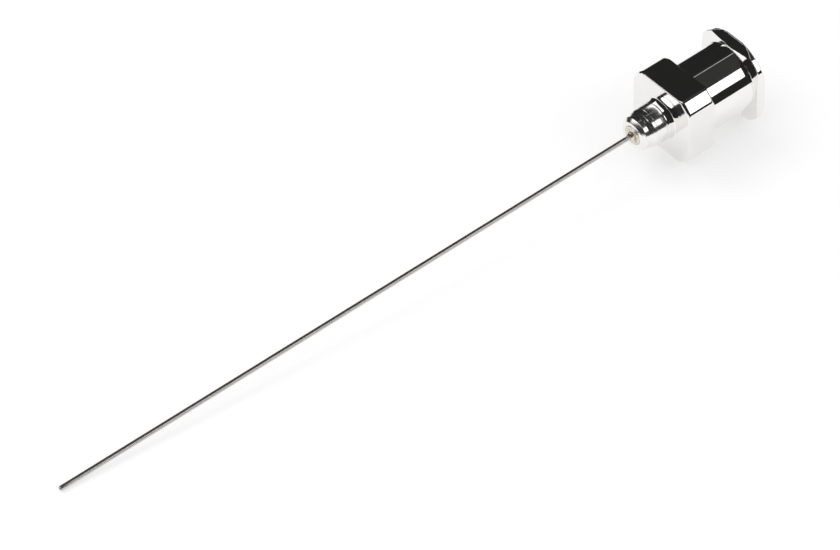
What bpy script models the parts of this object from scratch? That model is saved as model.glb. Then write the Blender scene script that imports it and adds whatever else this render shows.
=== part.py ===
"""Blunt hypodermic needle with a turned metal hub, lying as it comes to rest.

Metres, +Z up. The needle points along -X and lies on its lower lug and on the
end of the cannula, so its axis dips towards the tip. The origin is on the
surface it lies on, under the middle of its bounding box.

Every piece is turned about one axis. On the empty "needle_axis" that axis is
local Z: zero is the shoulder of the wrench block, +Z runs to the open mouth
and -Z to the tip. Local +X points down, through the lower lug.
"""

import math

import bmesh
import bpy
from mathutils import Matrix, Vector

# Hub: turned from round bar, then milled flat on four sides
BAR_DIAMETER = 0.0080
BLOCK_LENGTH = 0.0027
ACROSS_FLATS = 0.0065
BLOCK_CORNER_BREAK = 0.00025
BARREL_DIAMETER = 0.0060
BARREL_LENGTH = 0.00447
BARREL_FILLET = 0.00015

# Flange: a disc whose top and bottom are the lugs that turn into a locking collar
FLANGE_DIAMETER = 0.0080
FLANGE_THICKNESS = 0.00085
FLANGE_FRONT_ROUND = 0.00018
FLANGE_BACK_RUN = 0.00034
FLANGE_BACK_DROP = 0.00045
LUG_SPAN = 0.0076
LUG_RAMP_RUN = 0.00035
LUG_RAMP_DROP = 0.00046
LUG_BACK_DROP = 0.00038
LUG_LEAST_CREST = 0.00003

# Socket: the 6 % taper that a syringe tip wedges into
SOCKET_MOUTH_DIAMETER = 0.00430
SOCKET_TAPER = 0.06
SOCKET_DEPTH = 0.0076
SOCKET_MOUTH_CHAMFER = 0.00015
DRILL_POINT_ANGLE = math.radians(118.0)

# Nose: collar, body and the crimped end that grips the cannula
NOSE_LENGTH = 0.00297
NOSE_FOOT_FILLET = 0.00022
COLLAR_DIAMETER = 0.00352
COLLAR_LENGTH = 0.00048
NOSE_BODY_DIAMETER = 0.00336
CRIMP_DIAMETER = 0.00292
CRIMP_LENGTH = 0.00100
CRIMP_SHOULDER = 0.00016
CRIMP_END_ROUND = 0.00050

# Cannula: thin stainless tube, cut square
CANNULA_OUTER_DIAMETER = 0.00040
CANNULA_INNER_DIAMETER = 0.00020
CANNULA_EXPOSED_LENGTH = 0.0550

# Solder: fills the countersink round the cannula
COUNTERSINK_DIAMETER = 0.00170
COUNTERSINK_FLOOR_DIAMETER = 0.00100
COUNTERSINK_DEPTH = 0.00045
SOLDER_RISE = 0.00038
SOLDER_LIP = 0.00008
SEAT_CLEARANCE = 0.00002

# Facets round the axis, and along rounded edges
HUB_FACETS = 72
CANNULA_FACETS = 24
ARC_POINTS = 5

# How far the milling cutters reach past the bar, and past the flange's faces
CUTTER_OVERRUN = 0.001
LUG_CUTTER_MARGIN = 0.0001

MERGE_DISTANCE = 1e-7
SHARP_ANGLE = math.radians(32.0)

PARTS_NAME = "blunt_needle"
CUTTERS_NAME = "milling_cutters"


def clear_scene():
    """Remove every object, so that the model starts from nothing."""
    for obj in list(bpy.data.objects):
        bpy.data.objects.remove(obj, do_unlink=True)


def make_collection(name):
    """Return a new collection in the scene."""
    collection = bpy.data.collections.new(name)
    bpy.context.scene.collection.children.link(collection)
    return collection


def make_material(name, colour, metallic, roughness):
    """Return a Principled material with the piece's plain colour and finish."""
    material = bpy.data.materials.new(name)
    material.use_nodes = True
    shader = material.node_tree.nodes["Principled BSDF"]
    shader.inputs["Base Color"].default_value = (*colour, 1.0)
    shader.inputs["Metallic"].default_value = metallic
    shader.inputs["Roughness"].default_value = roughness
    return material


def arc(centre_r, centre_z, radius, start, end, points=ARC_POINTS):
    """Points (r, z) of an arc, from the start angle to the end angle in degrees."""
    angles = [math.radians(start + (end - start) * i / points) for i in range(points + 1)]
    return [(centre_r + radius * math.cos(a), centre_z + radius * math.sin(a)) for a in angles]


def facet_reach(radius, facets):
    """Distance from the axis to the middle of a facet whose corners are at the radius."""
    return radius * math.cos(math.pi / facets)


def turned(name, profile, facets, collection):
    """Return an object turned from a closed (r, z) profile, with a facet facing local +X."""
    mesh = bpy.data.meshes.new(name)
    shape = bmesh.new()
    corners = [shape.verts.new((r, 0.0, z)) for r, z in profile]
    for here, after in zip(corners, corners[1:] + corners[:1]):
        shape.edges.new((here, after))
    shape.to_mesh(mesh)
    shape.free()
    obj = bpy.data.objects.new(name, mesh)
    collection.objects.link(obj)
    obj.rotation_euler.z = math.pi / facets
    screw = obj.modifiers.new("turn", "SCREW")
    screw.axis = "Z"
    screw.angle = math.tau
    screw.steps = facets
    screw.render_steps = facets
    screw.use_merge_vertices = True
    screw.merge_threshold = MERGE_DISTANCE
    return obj


def cutter_object(name, mesh, collection):
    """Return a helper object that mills with the mesh and isn't part of the model."""
    cutter = bpy.data.objects.new(name, mesh)
    collection.objects.link(cutter)
    cutter.hide_render = True
    cutter.display_type = "WIRE"
    return cutter


def box_cutter(name, low, high, collection):
    """Return a box-shaped cutter between two corners."""
    low, high = Vector(low), Vector(high)
    mesh = bpy.data.meshes.new(name)
    shape = bmesh.new()
    bmesh.ops.create_cube(shape, size=1.0)
    bmesh.ops.scale(shape, vec=high - low, verts=shape.verts)
    bmesh.ops.translate(shape, vec=(low + high) / 2, verts=shape.verts)
    shape.to_mesh(mesh)
    shape.free()
    return cutter_object(name, mesh, collection)


def lug_cutter(name, side, collection):
    """Return the form cutter that shapes one lug's ramp, crest and back, 1 for the lower lug."""
    crest = LUG_SPAN / 2
    front, back = flange_front(), hub_mouth()
    ramp_slope = LUG_RAMP_DROP / lug_ramp_run()
    back_slope = LUG_BACK_DROP / FLANGE_BACK_RUN
    start, end = front - LUG_CUTTER_MARGIN, back + LUG_CUTTER_MARGIN
    reach = FLANGE_DIAMETER / 2 + CUTTER_OVERRUN
    outline = [
        (start, crest - LUG_RAMP_DROP - ramp_slope * LUG_CUTTER_MARGIN),
        (front + lug_ramp_run(), crest),
        (back - FLANGE_BACK_RUN, crest),
        (end, crest - LUG_BACK_DROP - back_slope * LUG_CUTTER_MARGIN),
        (end, reach),
        (start, reach),
    ]
    mesh = bpy.data.meshes.new(name)
    shape = bmesh.new()
    near = [shape.verts.new((side * height, -reach, place)) for place, height in outline]
    face = shape.faces.new(near)
    grown = bmesh.ops.extrude_face_region(shape, geom=[face])
    far = [part for part in grown["geom"] if isinstance(part, bmesh.types.BMVert)]
    bmesh.ops.translate(shape, vec=(0.0, 2 * reach, 0.0), verts=far)
    bmesh.ops.recalc_face_normals(shape, faces=shape.faces)
    shape.to_mesh(mesh)
    shape.free()
    return cutter_object(name, mesh, collection)


def mill(obj, cutter):
    """Take the cutter's space out of the object."""
    cut = obj.modifiers.new(cutter.name, "BOOLEAN")
    cut.operation = "DIFFERENCE"
    cut.solver = "EXACT"
    cut.object = cutter


def flange_front():
    """Axial place of the flange's face on the barrel's side."""
    return BLOCK_LENGTH + BARREL_LENGTH


def lug_ramp_run():
    """Axial length of the ramp on a lug's front, which always leaves a crest behind it."""
    return min(LUG_RAMP_RUN, FLANGE_THICKNESS - FLANGE_BACK_RUN - LUG_LEAST_CREST)


def hub_mouth():
    """Axial place of the open end of the hub."""
    return flange_front() + FLANGE_THICKNESS


def bore_radius():
    """Radius of the hole that holds the cannula."""
    return CANNULA_OUTER_DIAMETER / 2 + SEAT_CLEARANCE


def socket_floor():
    """Axial place where the socket's taper ends and the drill point begins."""
    return hub_mouth() - SOCKET_DEPTH


def socket_floor_radius():
    """Radius of the tapered socket at its floor."""
    return (SOCKET_MOUTH_DIAMETER - SOCKET_TAPER * SOCKET_DEPTH) / 2


def bore_mouth():
    """Axial place where the drill point meets the cannula's hole."""
    drop = (socket_floor_radius() - bore_radius()) / math.tan(DRILL_POINT_ANGLE / 2)
    return socket_floor() - drop


def outer_profile():
    """The hub's outside, from the mouth down to the end of the nose."""
    flange_r = FLANGE_DIAMETER / 2
    barrel_r = BARREL_DIAMETER / 2
    bar_r = BAR_DIAMETER / 2
    edge = FLANGE_FRONT_ROUND
    collar_r = COLLAR_DIAMETER / 2
    body_r = NOSE_BODY_DIAMETER / 2
    crimp_r = CRIMP_DIAMETER / 2
    crimp_start = -(NOSE_LENGTH - CRIMP_LENGTH)
    end_round = min(CRIMP_END_ROUND, crimp_r - COUNTERSINK_DIAMETER / 2 - SEAT_CLEARANCE)
    foot_r = collar_r + NOSE_FOOT_FILLET
    barrel_foot = BARREL_FILLET + barrel_r

    points = []
    points += [(flange_r - FLANGE_BACK_DROP, hub_mouth()), (flange_r, hub_mouth() - FLANGE_BACK_RUN)]
    points += arc(flange_r - edge, flange_front() + edge, edge, 0, -90)
    points += arc(barrel_foot, flange_front() - BARREL_FILLET, BARREL_FILLET, 90, 180)
    points += arc(barrel_foot, BLOCK_LENGTH + BARREL_FILLET, BARREL_FILLET, 180, 270)
    points += [(bar_r - BLOCK_CORNER_BREAK, BLOCK_LENGTH), (bar_r, BLOCK_LENGTH - BLOCK_CORNER_BREAK)]
    points += [(bar_r, BLOCK_CORNER_BREAK), (bar_r - BLOCK_CORNER_BREAK, 0.0)]
    points += arc(foot_r, -NOSE_FOOT_FILLET, NOSE_FOOT_FILLET, 90, 180)
    points += [(collar_r, -COLLAR_LENGTH), (body_r, -COLLAR_LENGTH - (collar_r - body_r))]
    points += [(body_r, crimp_start), (crimp_r, crimp_start - CRIMP_SHOULDER)]
    points += arc(crimp_r - end_round, end_round - NOSE_LENGTH, end_round, 0, -90)
    return points


def inner_profile():
    """The hub's inside, from the countersink in the nose up to the mouth."""
    mouth_r = SOCKET_MOUTH_DIAMETER / 2
    chamfer = SOCKET_MOUTH_CHAMFER
    return [
        (COUNTERSINK_DIAMETER / 2, -NOSE_LENGTH),
        (COUNTERSINK_FLOOR_DIAMETER / 2, COUNTERSINK_DEPTH - NOSE_LENGTH),
        (bore_radius(), COUNTERSINK_DEPTH - NOSE_LENGTH),
        (bore_radius(), bore_mouth()),
        (socket_floor_radius(), socket_floor()),
        (mouth_r - SOCKET_TAPER * chamfer / 2, hub_mouth() - chamfer),
        (mouth_r + chamfer, hub_mouth()),
    ]


def make_hub(parts, cutters):
    """Turn the hub from bar and mill it: the block's four flats, the flange's two, and the lugs."""
    hub = turned("hub", outer_profile() + inner_profile(), HUB_FACETS, parts)
    flat = ACROSS_FLATS / 2
    reach = BAR_DIAMETER / 2 + CUTTER_OVERRUN
    block_end = BLOCK_LENGTH + BARREL_LENGTH / 2
    mouth_end = hub_mouth() + CUTTER_OVERRUN
    start = -CUTTER_OVERRUN / 2
    sides = {
        "mill_lower": ((flat, -reach, start), (reach, reach, block_end)),
        "mill_upper": ((-reach, -reach, start), (-flat, reach, block_end)),
        "mill_left": ((-reach, -reach, start), (reach, -flat, mouth_end)),
        "mill_right": ((-reach, flat, start), (reach, reach, mouth_end)),
    }
    milling = [box_cutter(name, low, high, cutters) for name, (low, high) in sides.items()]
    milling += [lug_cutter("form_lower_lug", 1, cutters), lug_cutter("form_upper_lug", -1, cutters)]
    for cutter in milling:
        mill(hub, cutter)
    return hub, milling


def make_cannula(parts):
    """The tube, from the floor of the socket to its square-cut tip."""
    outer_r = CANNULA_OUTER_DIAMETER / 2
    inner_r = CANNULA_INNER_DIAMETER / 2
    inner_end = bore_mouth()
    tip = -(NOSE_LENGTH + CANNULA_EXPOSED_LENGTH)
    profile = [(outer_r, inner_end), (outer_r, tip), (inner_r, tip), (inner_r, inner_end)]
    return turned("cannula", profile, CANNULA_FACETS, parts)


def make_solder(parts):
    """The solder that fills the countersink and climbs the cannula in a hollow curve."""
    hole_r = bore_radius()
    wall_run = COUNTERSINK_DIAMETER / 2 - COUNTERSINK_FLOOR_DIAMETER / 2
    clear = SEAT_CLEARANCE * math.hypot(wall_run, COUNTERSINK_DEPTH) / COUNTERSINK_DEPTH
    rim_r = COUNTERSINK_DIAMETER / 2 - clear
    floor = COUNTERSINK_DEPTH - NOSE_LENGTH - SEAT_CLEARANCE
    floor_r = rim_r - wall_run * (floor + NOSE_LENGTH) / COUNTERSINK_DEPTH
    top_r = hole_r + SOLDER_LIP
    run = rim_r - top_r
    hollow = [
        (rim_r - run * math.sin(a), -NOSE_LENGTH - SOLDER_RISE * (1.0 - math.cos(a)))
        for a in (math.pi / 2 * i / ARC_POINTS for i in range(ARC_POINTS + 1))
    ]
    profile = [(hole_r, floor), (floor_r, floor)] + hollow + [(hole_r, hollow[-1][1])]
    return turned("solder_fillet", profile, CANNULA_FACETS * 2, parts)


def lay_down(axis):
    """Tip the axis so that the lower lug and the cannula's end touch the surface."""
    lug = LUG_SPAN / 2
    tube = facet_reach(CANNULA_OUTER_DIAMETER / 2, CANNULA_FACETS)
    lug_place = flange_front() + lug_ramp_run()
    tip_place = -(NOSE_LENGTH + CANNULA_EXPOSED_LENGTH)
    dip = math.atan2(lug - tube, lug_place - tip_place)
    height = lug * math.cos(dip) - lug_place * math.sin(dip)
    tip_x = tip_place * math.cos(dip) - tube * math.sin(dip)
    mouth_x = hub_mouth() * math.cos(dip) + (lug - LUG_BACK_DROP) * math.sin(dip)
    turn = Matrix.Rotation(math.pi / 2 - dip, 4, "Y")
    axis.matrix_world = Matrix.Translation((-(tip_x + mouth_x) / 2, 0.0, height)) @ turn


def apply_modifiers(obj):
    """Swap the object's mesh for its finished one, so that its sharp edges can be marked."""
    graph = bpy.context.evaluated_depsgraph_get()
    finished = bpy.data.meshes.new_from_object(obj.evaluated_get(graph))
    rough = obj.data
    obj.modifiers.clear()
    obj.data = finished
    bpy.data.meshes.remove(rough)
    finished.name = obj.name
    finished.shade_smooth()
    finished.set_sharp_from_angle(angle=SHARP_ANGLE)


def main():
    """Build the needle."""
    clear_scene()
    parts = make_collection(PARTS_NAME)
    cutters = make_collection(CUTTERS_NAME)
    cutters.hide_render = True

    nickel = make_material("nickel_plated_brass", (0.72, 0.70, 0.66), 1.0, 0.08)
    steel = make_material("stainless_tube", (0.56, 0.55, 0.53), 1.0, 0.22)
    solder = make_material("soft_solder", (0.62, 0.55, 0.42), 1.0, 0.25)

    hub, milling = make_hub(parts, cutters)
    cannula = make_cannula(parts)
    fillet = make_solder(parts)

    bpy.context.view_layer.update()
    for obj, material in ((hub, nickel), (cannula, steel), (fillet, solder)):
        apply_modifiers(obj)
        obj.data.materials.append(material)

    axis = bpy.data.objects.new("needle_axis", None)
    parts.objects.link(axis)
    lay_down(axis)
    for obj in [hub, cannula, fillet] + milling:
        obj.parent = axis


main()
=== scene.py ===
"""Looks for the blunt needle: plated hub, drawn steel tube and soldered joint on a white table.

Metres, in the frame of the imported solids. Every piece is turned about the
needle's own axis: local Z is that axis, zero at the front of the wrench block,
+Z towards the open mouth, and local +X points down.
"""

import logging
import math
from dataclasses import dataclass, field
from enum import Enum

import bmesh
import bpy
from mathutils import Matrix, Vector, noise


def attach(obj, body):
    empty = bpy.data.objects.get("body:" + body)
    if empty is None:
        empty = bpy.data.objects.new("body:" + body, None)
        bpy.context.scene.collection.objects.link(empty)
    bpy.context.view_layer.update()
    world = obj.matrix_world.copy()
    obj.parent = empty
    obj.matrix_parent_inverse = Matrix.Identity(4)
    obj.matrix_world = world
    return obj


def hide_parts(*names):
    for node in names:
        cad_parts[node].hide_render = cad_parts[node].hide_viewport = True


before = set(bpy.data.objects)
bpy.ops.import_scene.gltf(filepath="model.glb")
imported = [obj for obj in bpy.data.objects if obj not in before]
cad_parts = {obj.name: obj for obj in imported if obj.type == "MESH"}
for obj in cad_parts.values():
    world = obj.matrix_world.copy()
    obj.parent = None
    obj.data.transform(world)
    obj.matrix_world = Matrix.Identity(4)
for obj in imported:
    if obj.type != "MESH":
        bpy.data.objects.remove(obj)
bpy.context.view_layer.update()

MM = 0.001
MERGE_DISTANCE = 1e-7
WHITE = "#FFFFFF"
ROUND_SEGMENTS = 3
# A corner of a turned profile is rounded from this turn on, if its sides are this many roundings long.
SHARP_TURN = math.radians(25.0)
ROOM_TO_ROUND = 2.2
# How strongly the larger faces lead the shading, out of 100.
LARGE_FACE_WEIGHT = 100

Profile = list[tuple[float, float]]
log = logging.getLogger("needle")


def linear(colour: str) -> tuple[float, float, float, float]:
    """Turn an sRGB hex colour into linear light.

    Args:
        colour: the colour as "#RRGGBB".

    Returns:
        Red, green and blue in linear light, and an alpha of 1.
    """
    parts = [int(colour[i:i + 2], 16) / 255 for i in (1, 3, 5)]
    light = [c / 12.92 if c <= 0.04045 else ((c + 0.055) / 1.055) ** 2.4 for c in parts]
    return (*light, 1.0)


def add_node(
    tree: bpy.types.NodeTree,
    kind: str,
    values: dict | None = None,
    links: dict | None = None,
    **settings: object,
) -> bpy.types.Node:
    """Add one node to a tree, with its settings, input values and links.

    Args:
        tree: the node tree that gets the node.
        kind: the node's type, such as "ShaderNodeMath".
        values: input names or numbers, each with its plain value.
        links: input names or numbers, each with the output socket that feeds it.
        settings: attributes of the node itself.

    Returns:
        The new node.
    """
    node = tree.nodes.new(kind)
    for name, value in settings.items():
        setattr(node, name, value)
    for name, value in (values or {}).items():
        node.inputs[name].default_value = value
    for name, source in (links or {}).items():
        tree.links.new(source, node.inputs[name])
    return node


def ramp(reach: tuple[float, float], levels: tuple[float, float] = (0.0, 1.0)) -> dict[str, float]:
    """Give the inputs of a range node.

    Args:
        reach: the values at which the ramp starts and ends.
        levels: what it gives at its start and at its end.

    Returns:
        The node's input values by name.
    """
    return dict(zip(("From Min", "From Max", "To Min", "To Max"), (*reach, *levels)))


def arc(centre: tuple[float, float], radius: float, start: float, end: float, steps: int = 8) -> Profile:
    """Give the points of an arc in a turned profile.

    Args:
        centre: radius and height of the arc's centre.
        radius: the arc's own radius.
        start: first angle in degrees, 0 pointing away from the axis.
        end: last angle in degrees.
        steps: number of straight steps.

    Returns:
        The arc's points as (radius, height).
    """
    angles = [math.radians(start + (end - start) * i / steps) for i in range(steps + 1)]
    return [(centre[0] + radius * math.cos(a), centre[1] + radius * math.sin(a)) for a in angles]


@dataclass(frozen=True)
class NeedleAxis:
    """The needle's own axis, as the needle lies on its lower lug and on the tube's end."""

    dip: float = math.radians(3.14788766)
    place: tuple[float, float, float] = (24.848858 * MM, 0.0, 3.381318 * MM)

    def turn(self) -> float:
        """Return the turn about Y that lays the axis down."""
        return math.pi / 2 - self.dip

    def matrix(self) -> Matrix:
        """Return the matrix from the axis' own frame to the row frame."""
        return Matrix.Translation(self.place) @ Matrix.Rotation(self.turn(), 4, "Y")

    def coordinates(
        self, tree: bpy.types.NodeTree, stretch: tuple[float, float, float] = (1.0, 1.0, 1.0)
    ) -> bpy.types.NodeSocket:
        """Give a material the place on the needle in millimetres, in the axis' own frame.

        Args:
            tree: the material's node tree.
            stretch: how many times longer a pattern is drawn along local X, Y and Z.

        Returns:
            The output socket with the coordinates.
        """
        place = add_node(tree, "ShaderNodeTexCoord")
        scale = tuple(MM * s for s in stretch)
        values = {"Location": self.place, "Rotation": (0.0, self.turn(), 0.0), "Scale": scale}
        mapping = add_node(
            tree, "ShaderNodeMapping", values, {"Vector": place.outputs["Object"]}, vector_type="TEXTURE"
        )
        return mapping.outputs["Vector"]


AXIS = NeedleAxis()


def start_metal(name: str, roughness: float) -> tuple[bpy.types.Material, bpy.types.NodeTree, bpy.types.Node]:
    """Start the material of a bare or plated metal.

    Args:
        name: the material's name.
        roughness: the finish where no pattern drives it.

    Returns:
        The material, its node tree and its shader.
    """
    material = bpy.data.materials.new(name)
    material.use_nodes = True
    tree = material.node_tree
    shader = tree.nodes["Principled BSDF"]
    shader.inputs["Metallic"].default_value = 1.0
    shader.inputs["Roughness"].default_value = roughness
    return material, tree, shader


@dataclass(frozen=True)
class BrightNickel:
    """Bright nickel plating on turned and milled brass.

    It shows the room nearly as a mirror does, slightly warm, with faint rings
    from the turning tool and a soft waviness that breaks the edge of each reflection.
    """

    pale: str = "#F6F5F4"
    warm: str = "#F0EEEB"
    smooth: float = 0.035
    handled: float = 0.09
    # The crimping tool leaves the nose duller: more and more from 0.2 to 0.8 mm in front of the block.
    crimped: float = 0.13
    crimp_reach: tuple[float, float] = (-0.8, -0.2)
    tone_size: float = 1.8
    # Handled patches are this many times smaller than those of tone, and show in this range of the noise.
    touch_fineness: float = 2.2
    touch_reach: tuple[float, float] = (0.45, 0.75)
    # The tool's feed is about 0.05 mm a turn. It is drawn at 0.14 mm, or no ring would show.
    ring_spacing: float = 0.14
    ring_stretch: float = 60.0
    ring_depth: float = 0.0007 * MM
    wave_size: float = 0.75
    wave_depth: float = 0.0022 * MM

    def build(self) -> bpy.types.Material:
        """Return the plating's material."""
        material, tree, shader = start_metal("bright_nickel_plating", self.smooth)
        place = AXIS.coordinates(tree)
        tone = add_node(
            tree, "ShaderNodeTexNoise", {"Scale": 1 / self.tone_size, "Detail": 3.0}, {"Vector": place}
        )
        colour = add_node(
            tree,
            "ShaderNodeMix",
            {6: linear(self.pale), 7: linear(self.warm)},
            {0: tone.outputs["Fac"]},
            data_type="RGBA",
        )
        touch = add_node(
            tree,
            "ShaderNodeTexNoise",
            {"Scale": self.touch_fineness / self.tone_size, "Detail": 4.0},
            {"Vector": place},
        )
        finish = add_node(
            tree,
            "ShaderNodeMapRange",
            ramp(self.touch_reach, (self.smooth, self.handled)),
            {"Value": touch.outputs["Fac"]},
            interpolation_type="SMOOTHSTEP",
        )
        along = add_node(tree, "ShaderNodeSeparateXYZ", links={"Vector": place})
        crimp = add_node(
            tree,
            "ShaderNodeMapRange",
            ramp(self.crimp_reach, (self.crimped, 0.0)),
            {"Value": along.outputs["Z"]},
            interpolation_type="SMOOTHSTEP",
        )
        dulled = add_node(
            tree,
            "ShaderNodeMath",
            links={0: finish.outputs["Result"], 1: crimp.outputs["Result"]},
            operation="ADD",
        )
        rings_place = AXIS.coordinates(tree, (self.ring_stretch, self.ring_stretch, 1.0))
        rings = add_node(
            tree,
            "ShaderNodeTexNoise",
            {"Scale": 1 / self.ring_spacing, "Detail": 2.0},
            {"Vector": rings_place},
        )
        turned = add_node(
            tree, "ShaderNodeBump", {"Distance": self.ring_depth}, {"Height": rings.outputs["Fac"]}
        )
        waves = add_node(
            tree, "ShaderNodeTexNoise", {"Scale": 1 / self.wave_size, "Detail": 1.0}, {"Vector": place}
        )
        plated = add_node(
            tree,
            "ShaderNodeBump",
            {"Distance": self.wave_depth},
            {"Height": waves.outputs["Fac"], "Normal": turned.outputs["Normal"]},
        )
        tree.links.new(colour.outputs[2], shader.inputs["Base Color"])
        tree.links.new(dulled.outputs["Value"], shader.inputs["Roughness"])
        tree.links.new(plated.outputs["Normal"], shader.inputs["Normal"])
        return material


@dataclass(frozen=True)
class DrawnStainless:
    """Stainless tube drawn through a die.

    It has a satin grey sheen with fine lines along its length, from the die.
    """

    pale: str = "#DDDBD8"
    dark: str = "#C2BFBB"
    smooth: float = 0.26
    rough: float = 0.38
    # The die's lines are a few micrometres apart. They are drawn at 0.05 mm, so that some show.
    line_spacing: float = 0.05
    line_length: float = 14.0
    line_reach: tuple[float, float] = (0.3, 0.7)
    line_depth: float = 0.0002 * MM

    def build(self) -> bpy.types.Material:
        """Return the tube's material."""
        material, tree, shader = start_metal("drawn_stainless_steel", self.smooth)
        place = AXIS.coordinates(tree, (1.0, 1.0, self.line_length / self.line_spacing))
        lines = add_node(
            tree, "ShaderNodeTexNoise", {"Scale": 1 / self.line_spacing, "Detail": 2.0}, {"Vector": place}
        )
        colour = add_node(
            tree,
            "ShaderNodeMix",
            {6: linear(self.dark), 7: linear(self.pale)},
            {0: lines.outputs["Fac"]},
            data_type="RGBA",
        )
        finish = add_node(
            tree,
            "ShaderNodeMapRange",
            ramp(self.line_reach, (self.smooth, self.rough)),
            {"Value": lines.outputs["Fac"]},
        )
        drawn = add_node(
            tree, "ShaderNodeBump", {"Distance": self.line_depth}, {"Height": lines.outputs["Fac"]}
        )
        tree.links.new(colour.outputs[2], shader.inputs["Base Color"])
        tree.links.new(finish.outputs["Result"], shader.inputs["Roughness"])
        tree.links.new(drawn.outputs["Normal"], shader.inputs["Normal"])
        return material


@dataclass(frozen=True)
class SoftSolder:
    """Soft solder that ran into the countersink, with flux burnt on it.

    It is dull silver with golden brown spots and small lumps.
    """

    metal: str = "#E2DED4"
    flux: str = "#9A8158"
    smooth: float = 0.24
    rough: float = 0.50
    spot_size: float = 0.34
    spot_reach: tuple[float, float] = (0.46, 0.60)
    flux_reach: tuple[float, float] = (0.36, 0.80)
    lump_size: float = 0.16
    lump_depth: float = 0.012 * MM

    def build(self) -> bpy.types.Material:
        """Return the solder's material."""
        material, tree, shader = start_metal("soft_solder_with_flux", self.smooth)
        place = AXIS.coordinates(tree)
        spots = add_node(
            tree, "ShaderNodeTexNoise", {"Scale": 1 / self.spot_size, "Detail": 3.0}, {"Vector": place}
        )
        spotted = add_node(
            tree,
            "ShaderNodeMapRange",
            ramp(self.spot_reach),
            {"Value": spots.outputs["Fac"]},
            interpolation_type="SMOOTHSTEP",
        )
        across = add_node(
            tree, "ShaderNodeVectorMath", {1: (1.0, 1.0, 0.0)}, {0: place}, operation="MULTIPLY"
        )
        reach = add_node(
            tree, "ShaderNodeVectorMath", links={0: across.outputs["Vector"]}, operation="LENGTH"
        )
        near = add_node(
            tree,
            "ShaderNodeMapRange",
            ramp(self.flux_reach, (1.0, 0.0)),
            {"Value": reach.outputs["Value"]},
        )
        share = add_node(
            tree,
            "ShaderNodeMath",
            links={0: spotted.outputs["Result"], 1: near.outputs["Result"]},
            operation="MULTIPLY",
        )
        colour = add_node(
            tree,
            "ShaderNodeMix",
            {6: linear(self.metal), 7: linear(self.flux)},
            {0: share.outputs["Value"]},
            data_type="RGBA",
        )
        finish = add_node(
            tree,
            "ShaderNodeMapRange",
            ramp((0.0, 1.0), (self.smooth, self.rough)),
            {"Value": share.outputs["Value"]},
        )
        lumps = add_node(
            tree, "ShaderNodeTexNoise", {"Scale": 1 / self.lump_size, "Detail": 2.0}, {"Vector": place}
        )
        frozen = add_node(
            tree, "ShaderNodeBump", {"Distance": self.lump_depth}, {"Height": lumps.outputs["Fac"]}
        )
        tree.links.new(colour.outputs[2], shader.inputs["Base Color"])
        tree.links.new(finish.outputs["Result"], shader.inputs["Roughness"])
        tree.links.new(frozen.outputs["Normal"], shader.inputs["Normal"])
        return material


class Finish(Enum):
    """The record's material slot of each piece, with the finish that it is dressed in."""

    NICKEL = ("nickel", BrightNickel())
    STEEL = ("steel", DrawnStainless())
    SOLDER = ("solder", SoftSolder())


def corner_turn(corner: bmesh.types.BMVert) -> float:
    """Return the angle by which a profile turns at one of its corners."""
    before, after = (e.other_vert(corner).co - corner.co for e in corner.link_edges)
    return before.angle(-after)


def turn_profile(
    profile: Profile,
    steps: int,
    edge_round: float = 0.0,
    square: tuple[float, float] = (0.0, 0.0),
) -> bmesh.types.BMesh:
    """Turn a closed profile about the needle's axis.

    Args:
        profile: points as (radius, height) in the axis' own frame.
        steps: number of facets round the axis.
        edge_round: how far from each sharp corner of the profile its rounding starts.
        square: lowest and highest height of the corners that keep their edge.

    Returns:
        The closed shape.
    """
    shape = bmesh.new()
    corners = [shape.verts.new((r, 0.0, z)) for r, z in profile]
    for pair in zip(corners, corners[1:] + corners[:1]):
        shape.edges.new(pair)
    if edge_round:
        sharp = [
            v
            for v in corners
            if corner_turn(v) > SHARP_TURN
            and not square[0] <= v.co.z <= square[1]
            and min(e.calc_length() for e in v.link_edges) > ROOM_TO_ROUND * edge_round
        ]
        bmesh.ops.bevel(
            shape,
            geom=sharp,
            offset=edge_round,
            offset_type="OFFSET",
            affect="VERTICES",
            segments=ROUND_SEGMENTS,
            profile=0.5,
            material=-1,
        )
    bmesh.ops.spin(
        shape,
        geom=list(shape.verts) + list(shape.edges),
        cent=(0.0, 0.0, 0.0),
        axis=(0.0, 0.0, 1.0),
        dvec=(0.0, 0.0, 0.0),
        angle=math.tau,
        steps=steps,
        use_merge=True,
    )
    bmesh.ops.remove_doubles(shape, verts=shape.verts, dist=MERGE_DISTANCE)
    bmesh.ops.recalc_face_normals(shape, faces=shape.faces)
    return shape


def place_piece(shape: bmesh.types.BMesh, name: str, node: str, finish: Finish) -> bpy.types.Object:
    """Make an object of a finished shape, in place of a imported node.

    Args:
        shape: the shape in the axis' own frame, which is freed here.
        name: the piece's name.
        node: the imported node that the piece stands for.
        finish: the finish that it is dressed in.

    Returns:
        The piece, at the origin, with its place in its mesh.
    """
    slot, dressing = finish.value
    mesh = bpy.data.meshes.new(name)
    bmesh.ops.transform(shape, matrix=AXIS.matrix(), verts=shape.verts)
    bmesh.ops.recalc_face_normals(shape, faces=shape.faces)
    shape.to_mesh(mesh)
    shape.free()
    mesh.shade_smooth()
    mesh.materials.append(dressing.build())
    piece = bpy.data.objects.new(name, mesh)
    bpy.context.scene.collection.objects.link(piece)
    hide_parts(node)
    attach(piece, "root")
    return piece


def shade_evenly(piece: bpy.types.Object) -> None:
    """Let the large faces of a piece shade evenly, right up to their rounded edges.

    Args:
        piece: the piece.
    """
    even = piece.modifiers.new("even_shading", "WEIGHTED_NORMAL")
    even.mode = "FACE_AREA"
    even.weight = LARGE_FACE_WEIGHT


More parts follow.
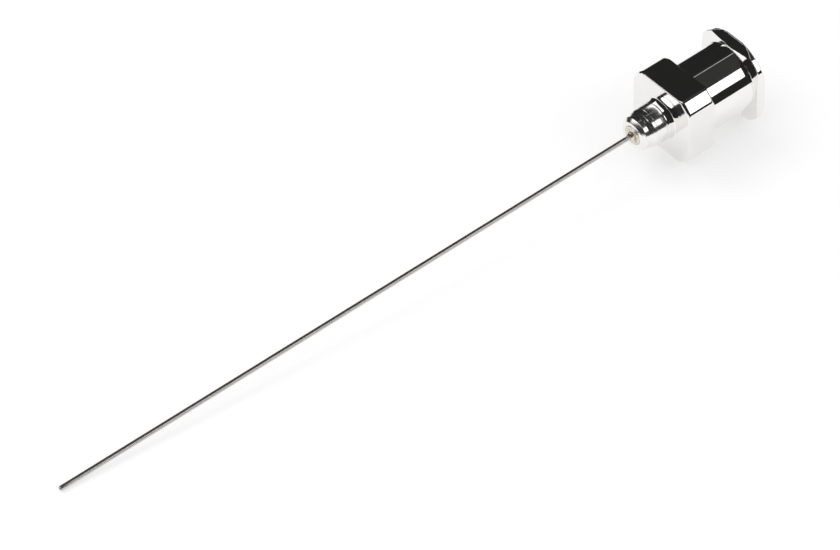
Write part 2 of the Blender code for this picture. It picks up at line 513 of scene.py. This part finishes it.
@dataclass
class Hub:
    """Turned and milled hub: wrench block, barrel, lugged flange, nose and tapered socket."""

    bar_radius: float = 4.0 * MM
    block_length: float = 2.7 * MM
    half_flats: float = 3.25 * MM
    corner_break: float = 0.21 * MM
    # Rows of vertices keep the shading of the block's faces flat: this far past each corner's break,
    # across and along the axis, and this far outside the nose's foot.
    corner_support: tuple[float, float] = (0.03 * MM, 0.08 * MM)
    foot_support: float = 0.08 * MM
    barrel_radius: float = 3.0 * MM
    barrel_length: float = 4.47 * MM
    barrel_fillet: float = 0.05 * MM

    flange_radius: float = 4.0 * MM
    flange_thickness: float = 0.85 * MM
    flange_front_round: float = 0.07 * MM
    flange_front_lean: float = 0.10 * MM
    flange_front_sweep: float = 84.0
    flange_back_run: float = 0.34 * MM
    flange_back_drop: float = 0.45 * MM
    # 5 micrometres lower than the solids' crest.
    lug_height: float = 3.795 * MM
    lug_ramp_run: float = 0.50 * MM
    lug_ramp_drop: float = 0.655 * MM
    lug_back_run: float = 0.26 * MM
    lug_back_drop: float = 0.38 * MM

    socket_radius: float = 2.15 * MM
    socket_taper: float = 0.03
    socket_depth: float = 7.6 * MM
    socket_chamfer: float = 0.15 * MM
    drill_point: float = math.radians(59.0)
    bore_radius: float = 0.22 * MM

    nose_length: float = 2.97 * MM
    foot_fillet: float = 0.05 * MM
    foot_flare: float = 0.055 * MM
    flare_power: float = 2.2
    foot_length: float = 0.45 * MM
    body_radius: float = 1.70 * MM
    body_taper: float = 0.035
    shoulder: tuple[float, float] = (1.74 * MM, 2.44 * MM)
    crimp_radius: float = 1.46 * MM
    end_break: float = 0.34 * MM
    end_round: float = 0.10 * MM
    ring_places: tuple[float, ...] = (0.62 * MM, 1.50 * MM, 2.0 * MM, 2.28 * MM)
    ring_width: float = 0.07 * MM
    ring_depth: float = 0.011 * MM
    countersink_radius: float = 0.85 * MM
    countersink_floor_radius: float = 0.5 * MM
    countersink_depth: float = 0.45 * MM

    # With 3.75 degrees a facet, no facet edge comes closer to a corner of the block than its rounding.
    facets: int = 96
    edge_round: float = 0.08 * MM
    lug_round: float = 0.025 * MM
    turned_round: float = 0.05 * MM
    # Under each flat, a line of vertices lies this many roundings deep.
    line_depth: float = 1.6
    cutter_room: float = 0.1 * MM
    disc_room: float = 0.01 * MM
    # An edge is rounded from this turn on, and only this far outside the barrel.
    milled_turn: float = math.radians(20.0)
    barrel_room: float = 0.2 * MM
    # The part of a normal that lies along an axis counts as all of it from the first of these on, and as
    # nothing up to the second.
    full_part: float = 0.9999
    no_part: float = 1e-4
    # Dents fade in past the foot and out before the end, and get deeper past the shoulder's start.
    dent_depth: float = 0.008 * MM
    dent_size: float = 0.40 * MM
    dent_fade: tuple[float, float] = (0.3 * MM, 0.1 * MM)
    dent_growth: float = 0.3 * MM
    dent_least: float = 0.25
    nose_row: float = 0.03 * MM
    nose_steps: int = 4

    def flange_front(self) -> float:
        """Return the height of the flange's front face."""
        return self.block_length + self.barrel_length

    def mouth(self) -> float:
        """Return the height of the open end."""
        return self.flange_front() + self.flange_thickness

    def nose_radius(self, run: float) -> float:
        """Give the nose's radius at a place along it.

        Args:
            run: distance in front of the block.

        Returns:
            The radius, with the flared foot, the rings and the waist that leads to the crimped end.
        """
        radius = self.body_radius - self.body_taper * run
        radius += self.foot_flare * max(0.0, 1 - run / self.foot_length) ** self.flare_power
        start, end = self.shoulder
        share = min(1.0, max(0.0, (run - start) / (end - start)))
        crimped = share * share * (3 - 2 * share)
        radius += (self.crimp_radius - radius) * crimped
        for ring in self.ring_places:
            radius -= self.ring_depth * math.exp(-2 * ((run - ring) / self.ring_width) ** 2)
        return radius

    def nose_profile(self) -> Profile:
        """Return the nose's outside, in short rows so that it can take rings and dents."""
        root, straight = self.foot_fillet, self.nose_length - self.end_break
        rows = int((straight - root) / self.nose_row)
        foot = self.nose_radius(root) + root
        points = [(foot + self.foot_support, 0.0)] + arc((foot, -root), root, 90, 180, self.nose_steps)
        runs = [root + (straight - root) * i / rows for i in range(1, rows)]
        points += [(self.nose_radius(run), -run) for run in runs]
        edge, end_radius = self.end_round, self.nose_radius(straight)
        points += arc((end_radius - edge, -straight), edge, 0, -45, self.nose_steps)
        inner = (end_radius - self.end_break, edge - self.nose_length)
        return points + arc(inner, edge, -45, -90, self.nose_steps)

    def profile(self) -> Profile:
        """Return the whole closed profile, from the mouth's edge round the outside and back inside."""
        fillet, edge = self.barrel_fillet, self.flange_front_round
        foot = self.barrel_radius + fillet
        bar, top, front = self.bar_radius, self.block_length, self.flange_front()
        brk = self.corner_break
        across, along = (brk + support for support in self.corner_support)
        points = [(self.flange_radius - self.flange_back_drop, self.mouth())]
        points += [(self.flange_radius, self.mouth() - self.flange_back_run)]
        rim = (self.flange_radius - edge, front + self.flange_front_lean + edge)
        points += arc(rim, edge, 0, -self.flange_front_sweep)
        points += arc((foot, front - fillet), fillet, 90, 180)
        points += arc((foot, self.block_length + fillet), fillet, 180, 270)
        points += [(bar - across, top), (bar - brk, top), (bar, top - brk), (bar, top - along)]
        points += [(bar, along), (bar, brk), (bar - brk, 0.0), (bar - across, 0.0)]
        points += self.nose_profile()
        floor_height = self.countersink_depth - self.nose_length
        socket_floor = self.mouth() - self.socket_depth
        floor_radius = self.socket_radius - self.socket_taper * self.socket_depth
        bore_mouth = socket_floor - (floor_radius - self.bore_radius) / math.tan(self.drill_point)
        chamfer_end = self.socket_radius - self.socket_taper * self.socket_chamfer
        points += [
            (self.countersink_radius, -self.nose_length),
            (self.countersink_floor_radius, floor_height),
            (self.bore_radius, floor_height),
            (self.bore_radius, bore_mouth),
            (floor_radius, socket_floor),
            (chamfer_end, self.mouth() - self.socket_chamfer),
            (self.socket_radius + self.socket_chamfer, self.mouth()),
        ]
        return points

    def cut(
        self,
        shape: bmesh.types.BMesh,
        heights: tuple[float, float],
        point: tuple[float, float, float],
        normal: tuple[float, float, float],
        rounding: float,
    ) -> None:
        """Mill one flat face, with a line of vertices left beside it to carry the rounded edge.

        Args:
            shape: the hub.
            heights: lowest and highest height of the faces that the cutter reaches.
            point: a point of the flat.
            normal: the direction that the flat faces.
            rounding: how far from the edge its rounding will start.
        """
        across = Vector(normal).normalized()
        for depth, clear in ((self.line_depth * rounding, False), (0.0, True)):
            faces = [f for f in shape.faces if heights[0] < f.calc_center_median().z < heights[1]]
            edges = {e for f in faces for e in f.edges}
            verts = {v for f in faces for v in f.verts}
            done = bmesh.ops.bisect_plane(
                shape,
                geom=list(verts) + list(edges) + faces,
                dist=MERGE_DISTANCE,
                plane_co=Vector(point) - across * depth,
                plane_no=across,
                clear_outer=clear,
            )
            rim = [e for e in done["geom_cut"] if isinstance(e, bmesh.types.BMEdge) and e.is_boundary]
            if rim:
                bmesh.ops.holes_fill(shape, edges=rim, sides=0)

    def mill(self, shape: bmesh.types.BMesh) -> None:
        """Mill the block's four flats, the flange's two and the faces of both lugs.

        Args:
            shape: the turned hub.
        """
        middle = self.block_length + self.barrel_length / 2
        end = self.mouth() + self.cutter_room
        block, flange = (-self.cutter_room, middle), (middle, end)
        disc = (self.flange_front() - self.disc_room, end)
        flat, crest = self.half_flats, self.lug_height
        crest_start = self.flange_front() + self.lug_ramp_run
        crest_end = self.mouth() - self.lug_back_run
        soft, fine = self.edge_round, self.lug_round
        for side in (1, -1):
            self.cut(shape, block, (side * flat, 0.0, 0.0), (side, 0.0, 0.0), soft)
            self.cut(shape, block, (0.0, side * flat, 0.0), (0.0, side, 0.0), soft)
            self.cut(shape, flange, (0.0, side * flat, 0.0), (0.0, side, 0.0), fine)
            self.cut(shape, flange, (side * crest, 0.0, 0.0), (side, 0.0, 0.0), fine)
            ramp = (side * self.lug_ramp_run, 0.0, -self.lug_ramp_drop)
            self.cut(shape, disc, (side * crest, 0.0, crest_start), ramp, fine)
            back = (side * self.lug_back_run, 0.0, self.lug_back_drop)
            self.cut(shape, disc, (side * crest, 0.0, crest_end), back, fine)

    def is_milled(self, face: bmesh.types.BMFace) -> bool:
        """Return whether a face is on one of the flats, or on a lug's crest, ramp or back."""
        facing = face.normal
        if max(abs(facing.x), abs(facing.y)) > self.full_part:
            return True
        in_disc = face.calc_center_median().z > self.flange_front()
        return in_disc and abs(facing.y) < self.no_part and abs(facing.z) < self.full_part

    def round_edges(self, shape: bmesh.types.BMesh) -> None:
        """Round the outside edges of block and flange, as tumbling and plating leave them.

        Args:
            shape: the milled hub.
        """
        middle = self.block_length + self.barrel_length / 2
        inside = self.barrel_radius + self.barrel_room
        for rounding, is_block in ((self.edge_round, True), (self.lug_round, False)):
            sharp = [
                e
                for e in shape.edges
                if len(e.link_faces) == 2
                and (e.verts[0].co.z < middle) == is_block
                and e.calc_face_angle(0.0) > self.milled_turn
                and min(math.hypot(v.co.x, v.co.y) for v in e.verts) > inside
                and any(self.is_milled(f) for f in e.link_faces)
            ]
            bmesh.ops.bevel(
                shape,
                geom=sharp,
                offset=rounding,
                offset_type="OFFSET",
                affect="EDGES",
                segments=ROUND_SEGMENTS,
                profile=0.5,
                material=-1,
                clamp_overlap=False,
            )

    def dent_nose(self, shape: bmesh.types.BMesh) -> None:
        """Press shallow dents into the nose, as the crimping tool leaves them.

        Args:
            shape: the hub.
        """
        end = self.nose_length - self.end_break
        for vert in shape.verts:
            run, reach = -vert.co.z, math.hypot(vert.co.x, vert.co.y)
            if not (self.foot_length < run < end and reach > self.countersink_radius):
                continue
            fade_in, fade_out = self.dent_fade
            ease = min(1.0, (run - self.foot_length) / fade_in, (end - run) / fade_out)
            crimped = min(1.0, max(self.dent_least, (run - self.shoulder[0]) / self.dent_growth))
            depth = (1 + noise.noise(vert.co / self.dent_size)) * self.dent_depth * ease * crimped
            vert.co.xy *= 1 - depth / reach

    def make(self) -> bpy.types.Object:
        """Build and dress the hub.

        Returns:
            The hub's object.
        """
        shape = turn_profile(self.profile(), self.facets, self.turned_round, (0.0, self.block_length))
        self.dent_nose(shape)
        self.mill(shape)
        self.round_edges(shape)
        hub = place_piece(shape, "plated_hub", "hub", Finish.NICKEL)
        shade_evenly(hub)
        return hub


@dataclass
class Cannula:
    """Thin steel tube, cut square at both ends."""

    # 2 micrometres less than the solid's.
    outer_radius: float = 0.198 * MM
    inner_radius: float = 0.1 * MM
    tip: float = -57.97 * MM
    inner_end: float = -0.61 * MM
    burr_round: float = 0.02 * MM
    burr_steps: int = 3
    facets: int = 48
    rows: int = 60

    def make(self) -> bpy.types.Object:
        """Build and dress the tube.

        Returns:
            The tube's object.
        """
        edge = self.burr_round
        start = self.tip + edge
        side = [
            (self.outer_radius, self.inner_end + (start - self.inner_end) * i / self.rows)
            for i in range(self.rows)
        ]
        profile = side + arc((self.outer_radius - edge, start), edge, 0, -90, self.burr_steps)
        profile += [(self.inner_radius, self.tip), (self.inner_radius, self.inner_end)]
        shape = turn_profile(profile, self.facets)
        tube = place_piece(shape, "steel_tube", "cannula", Finish.STEEL)
        shade_evenly(tube)
        return tube


@dataclass
class SolderJoint:
    """Solder that fills the nose's countersink and climbs the tube in a hollow curve."""

    hole_radius: float = 0.203 * MM
    rim_radius: float = 0.83 * MM
    floor_radius: float = 0.5 * MM
    floor: float = -2.54 * MM
    nose_end: float = -2.97 * MM
    rise: float = 0.36 * MM
    lip: float = 0.07 * MM
    lump_depth: float = 0.03 * MM
    lump_size: float = 0.28 * MM
    hollow_steps: int = 14
    facets: int = 64

    def make(self) -> bpy.types.Object:
        """Build and dress the solder.

        Returns:
            The solder's object.
        """
        top = self.hole_radius + self.lip
        run = self.rim_radius - top
        angles = [math.pi / 2 * i / self.hollow_steps for i in range(self.hollow_steps + 1)]
        hollow = [
            (self.rim_radius - run * math.sin(a), self.nose_end - self.rise * (1 - math.cos(a)))
            for a in angles
        ]
        profile = [(self.hole_radius, self.floor), (self.floor_radius, self.floor)] + hollow
        profile += [(self.hole_radius, hollow[-1][1])]
        shape = turn_profile(profile, self.facets)
        for vert in shape.verts:
            reach = math.hypot(vert.co.x, vert.co.y)
            share = (reach - self.hole_radius) / (self.rim_radius - self.hole_radius)
            if vert.co.z > self.nose_end or share <= 0:
                continue
            bulge = noise.noise(vert.co / self.lump_size) * self.lump_depth
            vert.co.z -= bulge * 4 * share * (1 - share)
        return place_piece(shape, "solder_joint", "solder_fillet", Finish.SOLDER)


@dataclass(frozen=True)
class StripLamp:
    """A soft rectangular lamp that the metal shows as a bright patch.

    Its glow is how bright the metal shows it, where 1 is white.
    """

    name: str
    place: tuple[float, float, float]
    size: tuple[float, float]
    glow: float
    faces: tuple[float, float, float]
    along: tuple[float, float, float] = (1.0, 0.0, 0.0)

    def make(self) -> None:
        """Hang the lamp and aim it."""
        lamp = bpy.data.lights.new(self.name, "AREA")
        lamp.shape = "RECTANGLE"
        lamp.size, lamp.size_y = self.size
        lamp.energy = self.glow * math.pi * self.size[0] * self.size[1]
        holder = bpy.data.objects.new(self.name, lamp)
        bpy.context.scene.collection.objects.link(holder)
        away = (Vector(self.place) - Vector(self.faces)).normalized()
        across = away.cross(Vector(self.along)).normalized()
        turn = Matrix((across.cross(away), across, away)).transposed()
        holder.location = self.place
        holder.rotation_euler = turn.to_euler()
        holder.visible_camera = False


@dataclass
class Studio:
    """White table, plain soft light and the photograph's camera."""

    focus: tuple[float, float, float] = (0.030, 0.0, 0.004)
    floor_half: float = 1.5
    floor_drop: float = 0.01 * MM
    floor_colour: str = "#EFEFEF"
    floor_glow: float = 0.56
    # In the metal's mirror image alone, the table turns dark between these distances behind the needle:
    # the photographed barrel and nose stay dark up to their far outline.
    far_edge: tuple[float, float] = (0.024, 0.030)
    room_light: float = 0.80
    wall: float = 0.018
    # Round this direction the room is a little lighter. The cosines say where that starts and is full.
    grey_wall: float = 0.036
    grey_way: tuple[float, float, float] = (0.44, -0.17, 0.88)
    grey_reach: tuple[float, float] = (0.86, 0.93)
    key_strength: float = 0.65
    key_softness: float = math.radians(28.0)
    key_place: tuple[float, float, float] = (-0.15, 0.75, 0.9)
    lamps: list[StripLamp] = field(default_factory=lambda: [
        StripLamp("side_strip", (0.349, -0.309, 0.270), (0.578, 0.1995), 1.6, (0.349, 0.0, 0.004)),
        StripLamp(
            "tip_softbox",
            (-0.236, 0.130, 0.307),
            (0.605, 0.21),
            1.35,
            (0.025, 0.0, 0.003),
            (0.0, 0.954, -0.300),
        ),
        StripLamp("card_edge", (0.300, 0.106, 0.401), (0.48, 0.012), 0.55, (0.300, 0.0, 0.004)),
    ])

    lens: float = 174.098
    sensor: float = 36.0
    clip: tuple[float, float] = (0.01, 10.0)
    camera_place: tuple[float, float, float] = (-140.846 * MM, -169.072 * MM, 215.543 * MM)
    camera_turn: tuple[float, float, float] = (45.7883, -0.4745, -39.4418)

    def add_floor(self) -> None:
        """Lay the white table."""
        shape = bmesh.new()
        bmesh.ops.create_grid(shape, x_segments=1, y_segments=1, size=self.floor_half)
        mesh = bpy.data.meshes.new("table")
        shape.to_mesh(mesh)
        shape.free()
        table = bpy.data.objects.new("table", mesh)
        bpy.context.scene.collection.objects.link(table)
        table.location.z = -self.floor_drop
        mesh.materials.append(self.table_material())

    def table_material(self) -> bpy.types.Material:
        """Return the table's material.

        White paper: the light on it carries the needle's shadow, and a plain
        glow on top keeps the rest of it white. Its far part is dark in
        reflections only, and white to the camera.
        """
        material = bpy.data.materials.new("white_paper")
        material.use_nodes = True
        tree = material.node_tree
        tree.nodes.clear()
        share = 1 - self.floor_glow
        tone = tuple(c * share for c in linear(self.floor_colour)[:3]) + (1.0,)
        paper = add_node(tree, "ShaderNodeBsdfDiffuse", {"Color": tone})
        glow = add_node(tree, "ShaderNodeEmission", {"Color": linear(WHITE), "Strength": self.floor_glow})
        lit = add_node(
            tree, "ShaderNodeAddShader", links={0: paper.outputs["BSDF"], 1: glow.outputs["Emission"]}
        )
        place = add_node(tree, "ShaderNodeTexCoord")
        parts = add_node(tree, "ShaderNodeSeparateXYZ", links={"Vector": place.outputs["Object"]})
        far = add_node(
            tree,
            "ShaderNodeMapRange",
            ramp(self.far_edge),
            {"Value": parts.outputs["Y"]},
        )
        path = add_node(tree, "ShaderNodeLightPath")
        hidden = add_node(
            tree,
            "ShaderNodeMath",
            links={0: far.outputs["Result"], 1: path.outputs["Is Glossy Ray"]},
            operation="MULTIPLY",
        )
        dark = add_node(tree, "ShaderNodeEmission", {"Color": linear(WHITE), "Strength": self.wall})
        seen = add_node(
            tree,
            "ShaderNodeMixShader",
            links={0: hidden.outputs["Value"], 1: lit.outputs[0], 2: dark.outputs["Emission"]},
        )
        add_node(tree, "ShaderNodeOutputMaterial", links={"Surface": seen.outputs[0]})
        return material

    def add_room(self) -> None:
        """Set the world: white behind the table, soft light on it and dark walls for the metal."""
        world = bpy.data.worlds.new("studio")
        bpy.context.scene.world = world
        world.use_nodes = True
        tree = world.node_tree
        tree.nodes.clear()
        way = add_node(tree, "ShaderNodeTexCoord")
        side = add_node(
            tree,
            "ShaderNodeVectorMath",
            {1: self.grey_way},
            {0: way.outputs["Generated"]},
            operation="DOT_PRODUCT",
        )
        wall = add_node(
            tree,
            "ShaderNodeMapRange",
            ramp(self.grey_reach, (self.wall, self.grey_wall)),
            {"Value": side.outputs["Value"]},
        )
        path = add_node(tree, "ShaderNodeLightPath")
        level = add_node(
            tree,
            "ShaderNodeMix",
            {2: self.room_light},
            {0: path.outputs["Is Glossy Ray"], 3: wall.outputs["Result"]},
            data_type="FLOAT",
        )
        white = add_node(
            tree,
            "ShaderNodeMath",
            links={0: path.outputs["Is Camera Ray"], 1: path.outputs["Is Transmission Ray"]},
            operation="MAXIMUM",
        )
        strength = add_node(
            tree,
            "ShaderNodeMix",
            {3: 1.0},
            {0: white.outputs[0], 2: level.outputs[0]},
            data_type="FLOAT",
        )
        shade = add_node(
            tree,
            "ShaderNodeBackground",
            {"Color": linear(WHITE)},
            {"Strength": strength.outputs[0]},
        )
        add_node(tree, "ShaderNodeOutputWorld", links={"Surface": shade.outputs[0]})

    def add_lamps(self) -> None:
        """Hang the soft lamps and the key light that casts the needle's shadow."""
        for lamp in self.lamps:
            lamp.make()
        key = bpy.data.lights.new("key", "SUN")
        key.energy = self.key_strength
        key.angle = self.key_softness
        holder = bpy.data.objects.new("key", key)
        bpy.context.scene.collection.objects.link(holder)
        holder.location = self.key_place
        away = Vector(self.key_place) - Vector(self.focus)
        holder.rotation_euler = away.to_track_quat("Z", "Y").to_euler()
        holder.visible_camera = False
        holder.visible_glossy = False

    def add_camera(self) -> None:
        """Set up the camera at the photograph's place, turn and lens."""
        data = bpy.data.cameras.new("camera")
        data.lens = self.lens
        data.sensor_width = self.sensor
        data.clip_start, data.clip_end = self.clip
        camera = bpy.data.objects.new("camera", data)
        bpy.context.scene.collection.objects.link(camera)
        camera.location = self.camera_place
        camera.rotation_euler = tuple(math.radians(a) for a in self.camera_turn)
        bpy.context.scene.camera = camera

    def make(self) -> None:
        """Build the whole studio."""
        self.add_floor()
        self.add_room()
        self.add_lamps()
        self.add_camera()
        bpy.context.scene.view_settings.view_transform = "Standard"


def main() -> None:
    """Build the pieces in order and report each one."""
    logging.basicConfig(level=logging.INFO, format="%(name)s: %(message)s")
    Studio().make()
    for part in (Hub(), Cannula(), SolderJoint()):
        piece = part.make()
        log.info("%s: %d faces, %s", piece.name, len(piece.data.polygons), piece.data.materials[0].name)


if __name__ == "__main__":
    main()
